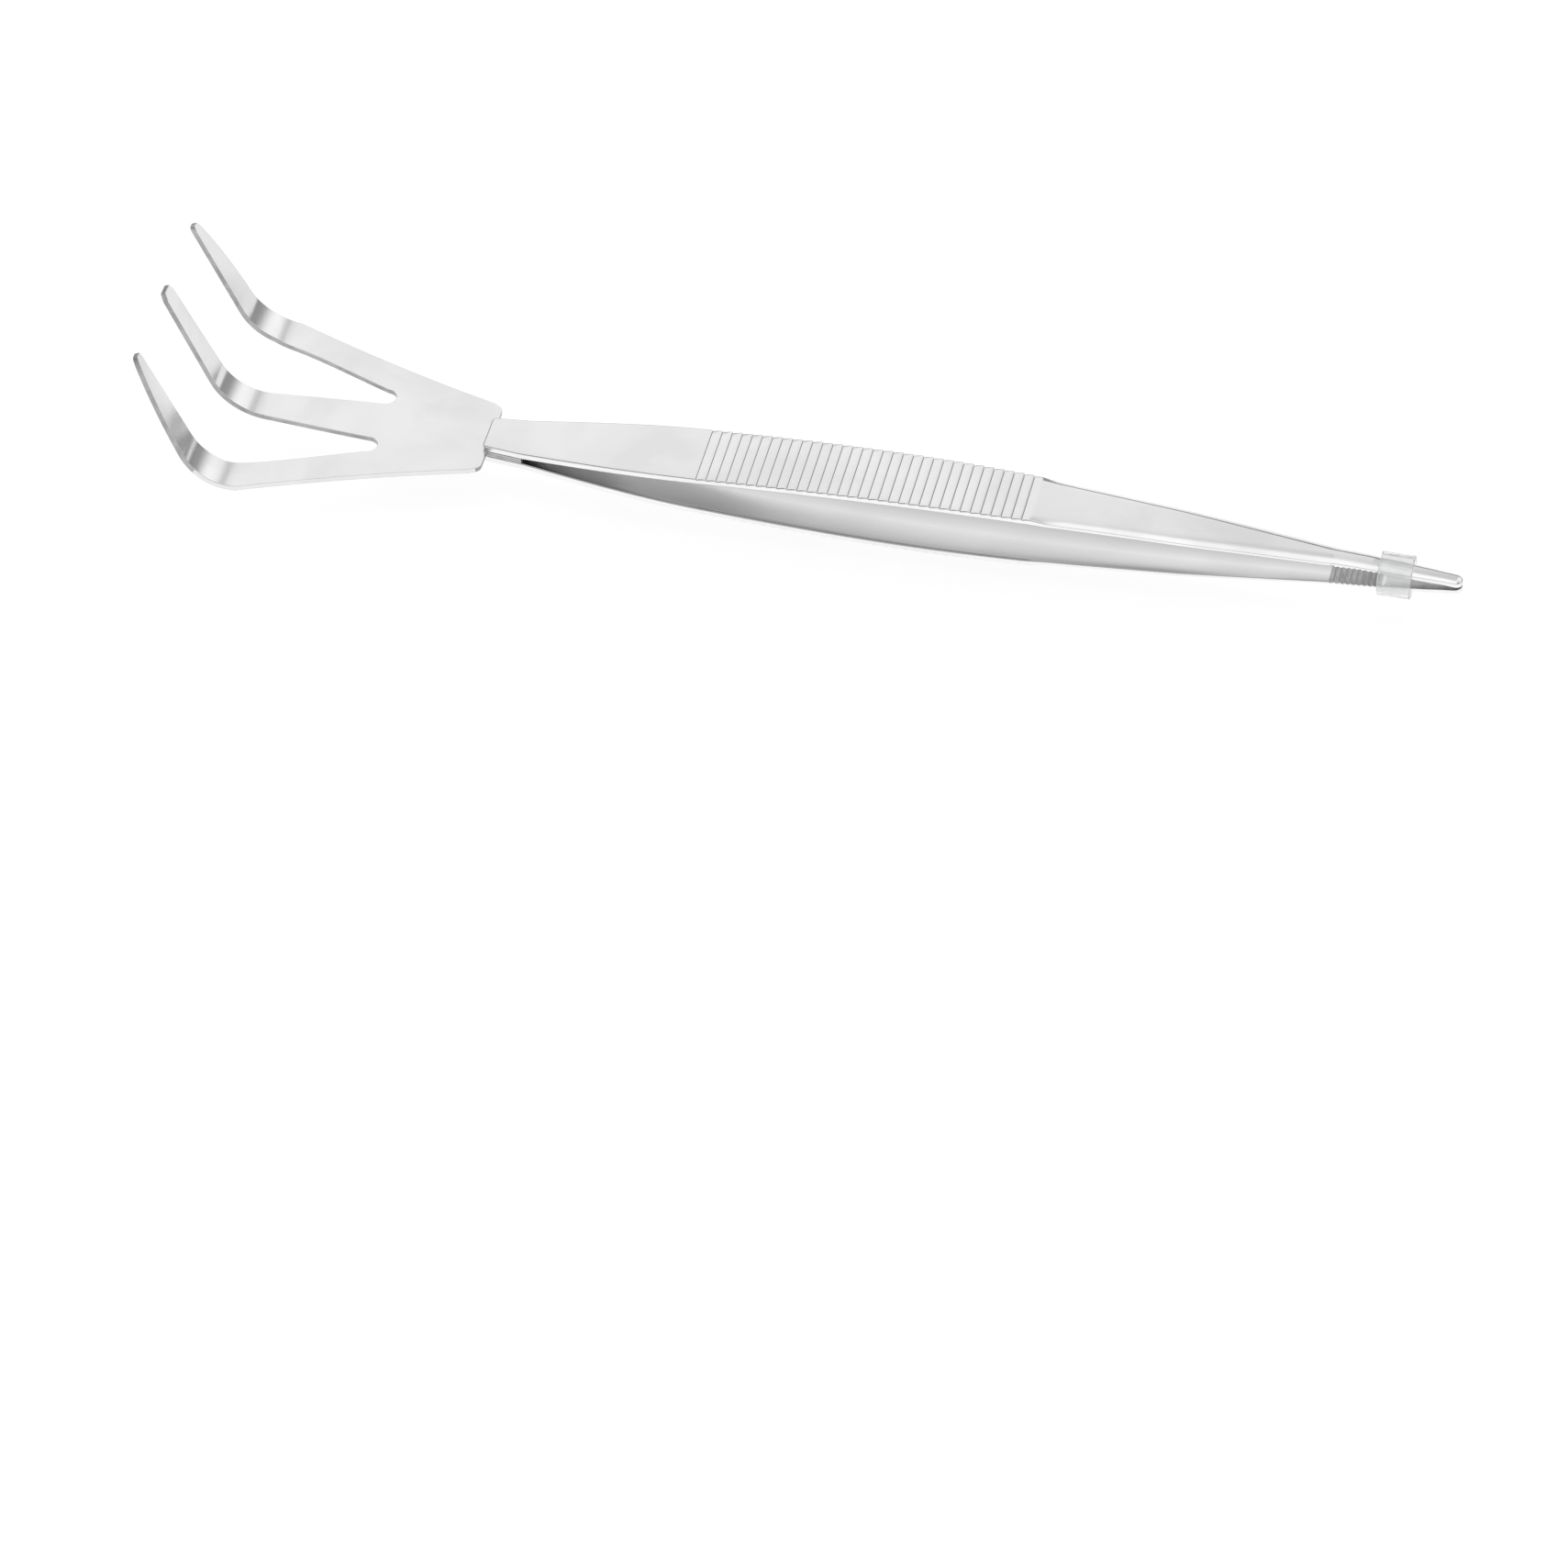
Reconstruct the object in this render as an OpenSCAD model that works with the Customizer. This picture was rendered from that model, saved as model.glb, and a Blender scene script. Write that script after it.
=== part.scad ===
// Long planting tweezers: two bowed spring arms welded to a three-tine rake, and a soft sleeve on the tips.
// X runs along the tool, rake towards -X and tips towards +X. Z is across the sandwich of the two arms.
// The origin is on the upper arm's outer face at its root, on the centre line over the middle of the tang.

/* [Arms] */
// Length of each arm from its root end to its tip
arm_length = 157.5; // [140:0.5:200]
// Thickness of the strip that the arms are pressed from
arm_thickness = 1.2; // [0.8:0.05:1.4]
// Width of the arm at its root end
root_width = 7; // [5.5:0.1:9]
// Width of the arm over the grip
grip_width = 12.2; // [9:0.1:15]
// Width of the arm at the last rib
grip_end_width = 10.8; // [8.5:0.1:12.5]
// Width of the arm where the jaw starts
jaw_width = 5.6; // [4.4:0.1:6.8]
// Width of the arm at its rounded tip
tip_width = 2.6; // [2.2:0.1:3.4]
// Widest gap between the two arms
bow_gap = 7.8; // [6:0.1:10]
// Distance from the root end to the widest gap
bow_peak = 74; // [60:1:95]
// Gap between the arms where the jaw starts
jaw_gap = 3.4; // [2.6:0.1:4.6]
// Gap left between the tips while the sleeve is on
tip_gap = 0.3; // [0.2:0.05:0.6]

/* [Grip ribs] */
// Distance from the root end to the first rib
rib_start = 35.5; // [25:0.5:45]
// Number of ribs across each arm
rib_count = 33; // [12:1:33]
// Distance between neighbouring ribs
rib_pitch = 1.64; // [1.2:0.02:1.7]
// Depth of the groove behind each rib
rib_depth = 0.3; // [0.1:0.05:0.4]

/* [Jaw] */
// Length of the toothed jaw
jaw_length = 20; // [15:0.5:26]
// Distance between neighbouring teeth
tooth_pitch = 0.88; // [0.7:0.02:1.2]
// Depth of the teeth
tooth_depth = 0.25; // [0.1:0.05:0.35]

/* [Rake] */
// Thickness of the rake plate and its tang
plate_thickness = 0.9; // [0.7:0.05:1.5]
// Length of the tang held between the arms
tang_length = 6.5; // [5:0.5:12]
// How far the plate's shoulder reaches past the arms' root ends
shoulder_reach = 0.6; // [0.2:0.1:2]
// Width of the plate at its shoulder
shoulder_width = 15.5; // [12:0.5:19]
// Radius of the plate's shoulder corners
shoulder_radius = 1.2; // [0.5:0.1:2]
// Width across the three tines where they start to bend
rake_width = 40.6; // [36:0.2:50]
// Distance from the arms' root ends to the round ends of the slots
slot_x = 16.7; // [14.5:0.1:20.5]
// Radius of the slots' round ends
slot_radius = 1.75; // [1.2:0.05:2.2]
// Distance from the centre line to each slot's round end
slot_y = 5.9; // [5:0.1:7]
// Width of each tine where it starts to bend
tine_width = 5.1; // [4:0.1:6]
// Distance from the arms' root ends to the start of the bend
bend_x = 36.3; // [33.5:0.1:44.5]
// Radius of the bend at the upper face
bend_radius = 9; // [5:0.5:12]
// Angle that the tines are bent up by
bend_angle = 65; // [40:1:75]
// Length of the straight part of each tine after the bend
tine_length = 17.8; // [12:0.2:24]
// Width of the middle tine at its blunt tip
tine_tip_width = 3.3; // [2:0.1:4]
// Size of the chamfers on the middle tine's blunt tip
tip_chamfer = 0.8; // [0.4:0.1:1.2]
// Width lost to the round at an outer tine's tip
tip_rounding = 3.3; // [2.6:0.1:3.6]

/* [Spot welds] */
// Radius of each weld nugget
weld_radius = 1.1; // [0.7:0.1:1.3]
// Distance between the two nuggets across the tang
weld_spacing = 3.6; // [3:0.1:4]
// Depth that each nugget reaches into an arm
weld_depth = 0.6; // [0.3:0.05:0.7]

/* [Sleeve] */
// Length of the sleeve
sleeve_length = 5.4; // [4:0.2:9]
// Wall of the sleeve
sleeve_wall = 0.7; // [0.5:0.05:1]
// Distance from the sleeve's front end to the tips
sleeve_from_tip = 7.8; // [6:0.2:10]

/* [Clearances] */
// Radial clearance between the sleeve's bore and the arms
sleeve_clearance = 0.08; // [0.06:0.01:0.12]
// Clearance around each weld nugget inside an arm
weld_clearance = 0.06; // [0.05:0.01:0.12]

/* [Hidden] */
$fn = 64;
eps = 0.01;

// Places along the arm, measured from its root end
rib_end = rib_start + rib_pitch * (rib_count - 1);
jaw_start = arm_length - jaw_length;
// Distance from the last rib to where the nose starts to be crowned
crown_run = 4;
crown_start = rib_end + crown_run;
tip_round = tip_width / 2;
// Half gaps between the arms, measured from the middle plane to an inner face
half_root = plate_thickness / 2;
half_bow = bow_gap / 2;
half_jaw = jaw_gap / 2;
half_tip = tip_gap / 2;
// Slopes of the arm's bow where it leaves the tang, at the jaw's start and at the tip
rise_slope = 0.075;
jaw_slope = -0.05;
tip_slope = -0.115;
// Slopes of half the arm's width: at the root, at the last rib, after it, before the jaw, in it, at the tip
root_flare = 0.1;
grip_taper = -0.04;
neck_taper = -0.06;
jaw_taper = -0.05;
nose_taper = -0.09;
tip_taper = -0.05;
// How far the crowned ridge lies below the strip's own outer face
crown_drop = 0.1;
// Pulls on the ends of the rake's outline: at the shoulder, at the bend both ways, at the round of the tip
shoulder_pull = [-13.1, 3.5];
splay_pull = [11.9, -4.8];
rise_pull = [-7, 0.9];
round_pull = [3.6, 2.6];
// Pulls on the slot's edges, away from the round end and back from the bend: middle tine, then outer tine
middle_pull = [-7, -0.4];
middle_return = [6, 0.4];
outer_pull = [-7, 2.7];
outer_return = [6, -1.2];
// How far past the bend's start the slots run straight, and how much an outer tine narrows to its tip
slot_run = 3;
slot_taper = 0.3;
// Run of the outer tines' round at the tip
round_run = 0.45;
// Steps along the smooth parts of the arm, the bend and the outlines
arm_step = 3;
arc_steps = 12;
curve_steps = 10;

// Cubic from [place, value, slope] a to b, read at x
function hermite(a, b, x) =
    let (run = b[0] - a[0], s = (x - a[0]) / run)
    (2 * s^3 - 3 * s^2 + 1) * a[1] + (s^3 - 2 * s^2 + s) * run * a[2]
    + (3 * s^2 - 2 * s^3) * b[1] + (s^3 - s^2) * run * b[2];

// Points of a cubic curve from a to b, which leaves a along pull_a and arrives from b + pull_b
function curve(a, pull_a, b, pull_b) = [
    for (i = [0 : curve_steps]) let (t = i / curve_steps)
        (1 - t)^3 * a + 3 * (1 - t)^2 * t * (a + pull_a) + 3 * (1 - t) * t^2 * (b + pull_b) + t^3 * b
];

// Height of the arm's inner face above the middle plane at distance x from the root end
function inner_height(x) =
    x <= tang_length ? half_root :
    x <= bow_peak ? hermite([tang_length, half_root, rise_slope], [bow_peak, half_bow, 0], x) :
    x <= jaw_start ? hermite([bow_peak, half_bow, 0], [jaw_start, half_jaw, jaw_slope], x) :
    hermite([jaw_start, half_jaw, jaw_slope], [arm_length, half_tip, tip_slope], x);

// Half the arm's width at distance x from the root end
function half_width(x) =
    x <= rib_start ? hermite([0, root_width / 2, root_flare], [rib_start, grip_width / 2, 0], x) :
    x <= rib_end ? hermite([rib_start, grip_width / 2, 0], [rib_end, grip_end_width / 2, grip_taper], x) :
    x <= jaw_start ?
        hermite([rib_end, grip_end_width / 2, neck_taper], [jaw_start, jaw_width / 2, jaw_taper], x) :
    hermite([jaw_start, jaw_width / 2, nose_taper], [arm_length - tip_round, tip_round, tip_taper], x);

// Radius of the crowned nose about the tool's axis at distance x from the root end
function crown_radius(x) =
    x >= jaw_start ? inner_height(x) + arm_thickness - crown_drop :
    let (corner = norm([half_width(crown_start), inner_height(crown_start) + arm_thickness]) + crown_drop)
    corner + (crown_radius(jaw_start) - corner) * (x - crown_start) / (jaw_start - crown_start);

// Inner face of the arm from root to tip, with the teeth over the jaw
tooth_count = floor((jaw_length - tooth_pitch) / tooth_pitch);
function inner_line() = concat(
    [[0, half_root]],
    [for (x = [tang_length : arm_step : jaw_start - arm_step]) [x, inner_height(x)]],
    [for (i = [0 : tooth_count - 1]) let (x = jaw_start + i * tooth_pitch)
        each [[x, inner_height(x)], [x + tooth_pitch / 2, inner_height(x) + tooth_depth]]],
    [[arm_length - tooth_pitch / 2, inner_height(arm_length)], [arm_length, inner_height(arm_length)]]
);

// Outer face of the arm from root to tip, with the saw-shaped ribs over the grip
function outer_height(x) = inner_height(x) + arm_thickness;
function outer_line() = concat(
    [for (x = [0, tang_length]) [x, outer_height(x)]],
    [for (x = [tang_length + arm_step : arm_step : rib_start - arm_step]) [x, outer_height(x)]],
    [for (i = [0 : rib_count - 1]) let (x = rib_start + i * rib_pitch)
        each [[x - eps, outer_height(x)], [x, outer_height(x) - rib_depth]]],
    [for (x = [rib_end + rib_pitch : arm_step : arm_length - arm_step / 2]) [x, outer_height(x)]],
    [[arm_length, outer_height(arm_length)]]
);

function reversed(list) = [for (i = [len(list) - 1 : -1 : 0]) list[i]];

// Arm seen from above, as a block of height h from the middle plane up
module arm_block(h) {
    edge = concat(
        [for (x = [0 : arm_step : arm_length - tip_round - arm_step / 2]) [x, half_width(x)]],
        [[arm_length - tip_round, tip_round]]
    );
    linear_extrude(h) polygon(concat(edge, [for (p = reversed(edge)) [p[0], -p[1]]]));
    translate([arm_length - tip_round, 0, 0]) cylinder(r = tip_round, h = h);
}

// Body of revolution about the tool's axis that rounds the nose
module crown() {
    front = arm_length + arm_step;
    back = [[0, -arm_step], [grip_width, -arm_step], [grip_width, crown_start],
        [crown_radius(crown_start), crown_start]];
    nose = concat([for (x = [jaw_start : arm_step : arm_length]) [crown_radius(x), x]],
        [[crown_radius(front), front], [0, front]]);
    rotate([0, 90, 0]) rotate_extrude() polygon(concat(back, nose));
}

// One arm above the middle plane, with blind holes for the weld nuggets
module arm() {
    difference() {
        intersection() {
            rotate([90, 0, 0]) linear_extrude(2 * grip_width, center = true)
                polygon(concat(inner_line(), reversed(outer_line())));
            arm_block(3 * bow_gap);
            crown();
        }
        at_welds() cylinder(r = weld_radius + weld_clearance, h = half_root + weld_depth);
    }
}

module at_welds() {
    for (side = [-1, 1]) translate([tang_length / 2, side * weld_spacing / 2, 0]) children();
}

// Pieces are drawn with zero at the arms' root ends on the middle plane, then moved to the part's own origin
module placed() {
    translate([-tang_length / 2, 0, -half_root - arm_thickness]) children();
}

module upper_arm() {
    color("gainsboro") placed() arm();
}

module lower_arm() {
    color("gainsboro") placed() mirror([0, 0, 1]) arm();
}

// Places of the tines' tips and edges in the view from above
rise = tine_length * [-cos(bend_angle), sin(bend_angle)];
tip_x = -bend_x - bend_radius * sin(bend_angle) + rise[0];
end_x = tip_x - plate_thickness * sin(bend_angle);
outer_y = rake_width / 2;
inner_y = outer_y - tine_width;

// Side view of the bent sheet: the flat plate, then the bend, then the rising tines
function bend_arc(r) = [for (i = [0 : arc_steps]) let (a = bend_angle * i / arc_steps)
    [-bend_x - r * sin(a), half_root + bend_radius - r * cos(a)]];
module rake_side() {
    upper = bend_arc(bend_radius);
    lower = bend_arc(bend_radius + plate_thickness);
    polygon(concat(
        [[tang_length, half_root]], upper, [upper[arc_steps] + rise],
        [lower[arc_steps] + rise], reversed(lower), [[tang_length, -half_root]]
    ));
}

// Half of the rake's outline, on the +Y side
module rake_half() {
    flare = curve([shoulder_reach, shoulder_width / 2], shoulder_pull, [-bend_x, outer_y], splay_pull);
    tine = curve([-bend_x, outer_y], rise_pull,
        [tip_x + round_run, outer_y - tip_rounding + round_run], round_pull);
    difference() {
        polygon(concat([[shoulder_reach, -eps]], flare, tine,
            [[end_x, outer_y - tip_rounding], [end_x, inner_y + slot_taper], [end_x, -eps]]));
        translate([shoulder_reach, shoulder_width / 2]) difference() {
            square(2 * shoulder_radius, center = true);
            translate([-shoulder_radius, -shoulder_radius]) circle(r = shoulder_radius);
        }
        slot();
        translate([end_x, tine_tip_width / 2]) rotate(45) square(tip_chamfer, center = true);
    }
}

// Slot between the middle tine and an outer tine, running out past the tips
module slot() {
    centre_x = -slot_x - slot_radius;
    straight_x = -bend_x - slot_run;
    middle_edge = curve([centre_x, slot_y - slot_radius], middle_pull,
        [straight_x, tine_width / 2], middle_return);
    outer_edge = curve([centre_x, slot_y + slot_radius], outer_pull, [straight_x, inner_y], outer_return);
    open_x = end_x - slot_radius;
    translate([centre_x, slot_y]) circle(r = slot_radius);
    polygon(concat(middle_edge, [[open_x, tine_tip_width / 2], [open_x, inner_y + slot_taper]],
        reversed(outer_edge)));
}

// Tang as wide as the arms, reaching back into the plate
module tang() {
    translate([0, 0, -half_root]) intersection() {
        arm_block(plate_thickness);
        translate([0, -root_width, 0]) cube([tang_length, 2 * root_width, plate_thickness]);
    }
}

module rake_head() {
    color("whitesmoke") placed() difference() {
        union() {
            intersection() {
                rotate([90, 0, 0]) linear_extrude(2 * rake_width, center = true) rake_side();
                translate([0, 0, -plate_thickness])
                    linear_extrude(2 * plate_thickness + bend_radius + tine_length) {
                        rake_half();
                        mirror([0, 1]) rake_half();
                    }
            }
            tang();
        }
        at_welds() cylinder(r = weld_radius, h = 2 * plate_thickness, center = true);
    }
}

// Weld nuggets through the tang and into both arms
module spot_welds() {
    color("darkgray") placed() at_welds()
        cylinder(r = weld_radius, h = plate_thickness + 2 * weld_depth, center = true);
}

// Soft sleeve that holds the tips closed
sleeve_back = arm_length - sleeve_from_tip - sleeve_length;
bore_radius = crown_radius(sleeve_back) + sleeve_clearance;
module tip_sleeve() {
    color([0.85, 0.9, 0.92, 0.4]) placed() translate([sleeve_back, 0, 0]) rotate([0, 90, 0])
        difference() {
            cylinder(r = bore_radius + sleeve_wall, h = sleeve_length);
            translate([0, 0, -1]) cylinder(r = bore_radius, h = sleeve_length + 2);
        }
}

upper_arm();
lower_arm();
rake_head();
spot_welds();
tip_sleeve();
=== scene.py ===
import math

import bmesh
import bpy
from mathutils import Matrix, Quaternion, Vector


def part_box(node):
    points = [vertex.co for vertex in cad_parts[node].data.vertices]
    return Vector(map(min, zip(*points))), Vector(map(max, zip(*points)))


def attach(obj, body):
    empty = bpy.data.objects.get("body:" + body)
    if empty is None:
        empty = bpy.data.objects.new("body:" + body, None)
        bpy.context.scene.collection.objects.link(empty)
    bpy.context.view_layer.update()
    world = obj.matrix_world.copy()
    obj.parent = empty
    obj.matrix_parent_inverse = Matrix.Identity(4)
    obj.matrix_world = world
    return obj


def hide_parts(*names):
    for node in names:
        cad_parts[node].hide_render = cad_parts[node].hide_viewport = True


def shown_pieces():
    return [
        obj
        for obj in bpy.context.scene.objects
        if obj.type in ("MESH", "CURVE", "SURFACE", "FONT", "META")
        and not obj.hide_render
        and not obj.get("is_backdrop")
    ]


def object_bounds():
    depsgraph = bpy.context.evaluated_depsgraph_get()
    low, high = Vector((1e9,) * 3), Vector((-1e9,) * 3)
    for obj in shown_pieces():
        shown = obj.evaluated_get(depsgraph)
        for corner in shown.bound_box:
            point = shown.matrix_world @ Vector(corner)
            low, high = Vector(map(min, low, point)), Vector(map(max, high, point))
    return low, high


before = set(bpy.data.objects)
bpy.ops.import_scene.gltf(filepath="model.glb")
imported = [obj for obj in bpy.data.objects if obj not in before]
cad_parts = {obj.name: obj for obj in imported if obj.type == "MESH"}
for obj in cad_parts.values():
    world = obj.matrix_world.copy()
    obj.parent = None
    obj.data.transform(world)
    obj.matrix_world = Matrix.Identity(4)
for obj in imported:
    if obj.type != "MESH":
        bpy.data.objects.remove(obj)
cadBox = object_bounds()
mm = 0.001
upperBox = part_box("upper_arm")
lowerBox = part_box("lower_arm")
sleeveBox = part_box("tip_sleeve")
rootX = upperBox[0].x  # the arms' root ends
midZ = (upperBox[1].z + lowerBox[0].z) / 2  # plane between the two arms
print("frame loaded")


# helpers for shader nodes

def addNode(tree, kind, inputs=None, **settings):
    # an input is another node's output, or a plain number or colour
    node = tree.nodes.new("ShaderNode" + kind)
    for name, value in settings.items():
        setattr(node, name, value)
    for name, value in (inputs or {}).items():
        if isinstance(value, bpy.types.NodeSocket):
            tree.links.new(value, node.inputs[name])
        else:
            node.inputs[name].default_value = value
    return node


def mapRange(tree, value, before=(0, 1), after=(0, 1), interpolation="LINEAR"):
    return addNode(tree, "MapRange", {
        "Value": value, "From Min": before[0], "From Max": before[1], "To Min": after[0], "To Max": after[1],
    }, interpolation_type=interpolation).outputs[0]


def mixColour(tree, factor, first, second, blend="MIX"):
    return addNode(
        tree, "Mix", {"Factor": factor, "A": first, "B": second}, data_type="RGBA", blend_type=blend,
    ).outputs["Result"]


def newMaterial(name):
    material = bpy.data.materials.new(name)
    material.use_nodes = True
    return material, material.node_tree.nodes["Principled BSDF"]


# camera, floor and light

cameraSetup = {
    "azimuth": 12.84,  # degrees round from the -Y side
    "elevation": 41.8,
    "roll": -0.364,
    "distance": 1.235,  # metres
    "lens": 178.9, "sensor": 36, "clip": (0.01, 50),
    "target": (0.05055, 0.0, 0.0018),
    "right": -0.00525,  # how far the aim lies from the target, sideways and upwards
    "up": -0.04944,
}


def makeCamera():
    setup = cameraSetup
    azimuth, elevation = math.radians(setup["azimuth"]), math.radians(setup["elevation"])
    back = Vector((
        math.sin(azimuth) * math.cos(elevation),
        -math.cos(azimuth) * math.cos(elevation),
        math.sin(elevation),
    ))
    right = Vector((math.cos(azimuth), math.sin(azimuth), 0))
    up = back.cross(right)
    place = Vector(setup["target"]) + back * setup["distance"]
    aim = Vector(setup["target"]) + right * setup["right"] + up * setup["up"]
    bpy.ops.object.camera_add(location=place)
    camera = bpy.context.active_object
    camera.name = "frontCamera"
    camera.rotation_mode = "QUATERNION"
    roll = Quaternion((0, 0, 1), math.radians(setup["roll"]))
    camera.rotation_quaternion = (aim - place).to_track_quat("-Z", "Y") @ roll
    camera.data.sensor_width = setup["sensor"]
    camera.data.lens = setup["lens"]
    camera.data.clip_start, camera.data.clip_end = setup["clip"]
    camera.data.dof.use_dof = False
    bpy.context.scene.camera = camera


studio = {
    "floorX": 0.05, "floorSize": 8.0,
    "floorDrop": 0.0033,  # room under the tool for the lower arm to open
    "floorColour": (0.22, 0.22, 0.22, 1), "floorRoughness": 0.9, "floorShine": 0.1, "floorGlow": 0.85,
    "backgroundColour": (0.95, 0.95, 0.955, 1),
    "softboxPlace": (0.1, -0.1, 1.3), "softboxSize": 1.6, "softboxPower": 3.0,
    # brightness by the height of the direction, from -1 straight down to 1 straight up
    "behind": [
        (-1, 0.9), (-0.02, 0.85), (0.0, 0.28), (0.25, 0.32), (0.36, 0.6), (0.45, 1.0), (0.54, 1.13),
        (0.62, 1.03), (0.8, 1.0), (1, 1.0),
    ],
    "front": [
        (-1, 0.9), (-0.02, 0.8), (0.0, 0.5), (0.3, 0.62), (0.52, 0.6), (0.6, 0.22), (0.86, 0.22),
        (0.9, 0.7), (0.935, 1.27), (1, 1.27),
    ],
    # and, behind the object, by its sideways part, from -1 towards the rake to 1 towards the tips
    "panels": [
        (-1, 0.95), (-0.4, 1.0), (-0.16, 1.0), (-0.02, 0.92), (0.09, 0.6), (0.2, 0.9), (0.28, 1.08), (1, 1.1),
    ],
    "sideBlend": (-0.12, -0.02),  # where the light in front gives way to the light behind
}


def makeFloor():
    place = (studio["floorX"], 0, cadBox[0].z - studio["floorDrop"])
    bpy.ops.mesh.primitive_plane_add(size=studio["floorSize"], location=place)
    floor = bpy.context.active_object
    floor.name = "paleFloor"
    material, shader = newMaterial("paleFloorPaint")
    shader.inputs["Base Color"].default_value = studio["floorColour"]
    shader.inputs["Roughness"].default_value = studio["floorRoughness"]
    shader.inputs["Specular IOR Level"].default_value = studio["floorShine"]
    shader.inputs["Emission Color"].default_value = (1, 1, 1, 1)
    shader.inputs["Emission Strength"].default_value = studio["floorGlow"]
    floor.data.materials.append(material)
    floor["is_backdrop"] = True


def makeSoftbox():
    bpy.ops.object.light_add(type="AREA", location=studio["softboxPlace"])
    softbox = bpy.context.active_object
    softbox.name = "overheadSoftbox"
    softbox.data.size = studio["softboxSize"]
    softbox.data.energy = studio["softboxPower"]
    softbox.visible_glossy = False


def greyRamp(tree, value, stops):
    # greys over a value from -1 to 1
    ramp = addNode(tree, "ValToRGB", {0: mapRange(tree, value, (-1, 1))})
    elements = ramp.color_ramp.elements
    elements.remove(elements[-1])
    for i, (place, grey) in enumerate(stops):
        share = (place + 1) / 2
        stop = elements[0] if i == 0 else elements.new(share)
        stop.position = share
        stop.color = (grey, grey, grey, 1)
    return ramp.outputs[0]


def makeSurroundings():
    world = bpy.data.worlds.new("paleStudio")
    bpy.context.scene.world = world
    world.use_nodes = True
    tree = world.node_tree
    tree.nodes.clear()
    direction = addNode(tree, "SeparateXYZ", {0: addNode(tree, "TexCoord").outputs["Generated"]})
    front = greyRamp(tree, direction.outputs["Z"], studio["front"])
    behind = greyRamp(tree, direction.outputs["Z"], studio["behind"])
    # a soft gap between the two light panels behind
    panels = greyRamp(tree, direction.outputs["X"], studio["panels"])
    behind = mixColour(tree, 1, behind, panels, "MULTIPLY")
    side = mapRange(tree, direction.outputs["Y"], studio["sideBlend"], interpolation="SMOOTHSTEP")
    light = addNode(tree, "Background", {"Color": mixColour(tree, side, front, behind)})
    # the camera itself sees a plain background
    plain = addNode(tree, "Background", {"Color": studio["backgroundColour"]})
    seen = addNode(tree, "LightPath").outputs["Is Camera Ray"]
    choice = addNode(tree, "MixShader", {"Fac": seen, 1: light.outputs[0], 2: plain.outputs[0]})
    addNode(tree, "OutputWorld", {"Surface": choice.outputs[0]})
    bpy.context.scene.view_settings.view_transform = "Standard"


makeCamera()
makeFloor()
makeSoftbox()
makeSurroundings()
print("camera and studio set")


# shader groups that several finishes share

def newGroup(name, inputs, outputs):
    group = bpy.data.node_groups.new(name, "ShaderNodeTree")
    for socketName, kind, value in inputs:
        socket = group.interface.new_socket(name=socketName, in_out="INPUT", socket_type=kind)
        if value is not None:
            socket.default_value = value
    for socketName in outputs:
        group.interface.new_socket(name=socketName, in_out="OUTPUT", socket_type="NodeSocketFloat")
    return group, group.nodes.new("NodeGroupInput"), group.nodes.new("NodeGroupOutput")


grainLook = {
    "fineDetail": 3, "fineRoughness": 0.6,
    "coarseLines": 1400, "coarseDetail": 2, "coarseShare": 0.35,
    "lineRange": (0.32, 0.68),
}


def makeGrainGroup():
    # fine straight polishing lines that run along X, with a coarser set that comes and goes
    group, inn, out = newGroup(
        "polishingGrain",
        [("Vector", "NodeSocketVector", None), ("Lines per metre", "NodeSocketFloat", 9000.0),
         ("Stretch", "NodeSocketFloat", 0.02)],
        ["Lines", "Height"],
    )
    look = grainLook
    squeeze = addNode(group, "CombineXYZ", {"X": inn.outputs["Stretch"], "Y": 1, "Z": 1})
    placed = addNode(
        group, "VectorMath", {0: inn.outputs["Vector"], 1: squeeze.outputs[0]}, operation="MULTIPLY",
    ).outputs[0]
    fine = addNode(group, "TexNoise", {
        "Vector": placed, "Scale": inn.outputs["Lines per metre"],
        "Detail": look["fineDetail"], "Roughness": look["fineRoughness"],
    })
    coarse = addNode(group, "TexNoise", {
        "Vector": placed, "Scale": look["coarseLines"], "Detail": look["coarseDetail"],
    })
    height = addNode(group, "Mix", {
        "Factor": look["coarseShare"], "A": fine.outputs["Fac"], "B": coarse.outputs["Fac"],
    }).outputs["Result"]
    group.links.new(mapRange(group, height, look["lineRange"]), out.inputs["Lines"])
    group.links.new(height, out.inputs["Height"])
    return group


smudgeLook = {
    "patchDetail": 4, "patchDistortion": 0.6, "patchRange": (0.38, 0.66),
    "specksPerMetre": 2600, "speckDetail": 2, "speckRange": (0.66, 0.74),
}


def makeSmudgeGroup():
    # soft cloudy patches left by handling and buffing, and small specks
    group, inn, out = newGroup(
        "handlingSmudges",
        [("Vector", "NodeSocketVector", None), ("Patches per metre", "NodeSocketFloat", 90.0)],
        ["Patches", "Specks"],
    )
    look = smudgeLook
    wide = addNode(group, "TexNoise", {
        "Vector": inn.outputs["Vector"], "Scale": inn.outputs["Patches per metre"],
        "Detail": look["patchDetail"], "Distortion": look["patchDistortion"],
    })
    small = addNode(group, "TexNoise", {
        "Vector": inn.outputs["Vector"], "Scale": look["specksPerMetre"], "Detail": look["speckDetail"],
    })
    group.links.new(mapRange(group, wide.outputs["Fac"], look["patchRange"]), out.inputs["Patches"])
    group.links.new(mapRange(group, small.outputs["Fac"], look["speckRange"]), out.inputs["Specks"])
    return group


wearLook = {"reach": 0.0002, "samples": 4, "agreement": (0.995, 0.88)}


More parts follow.
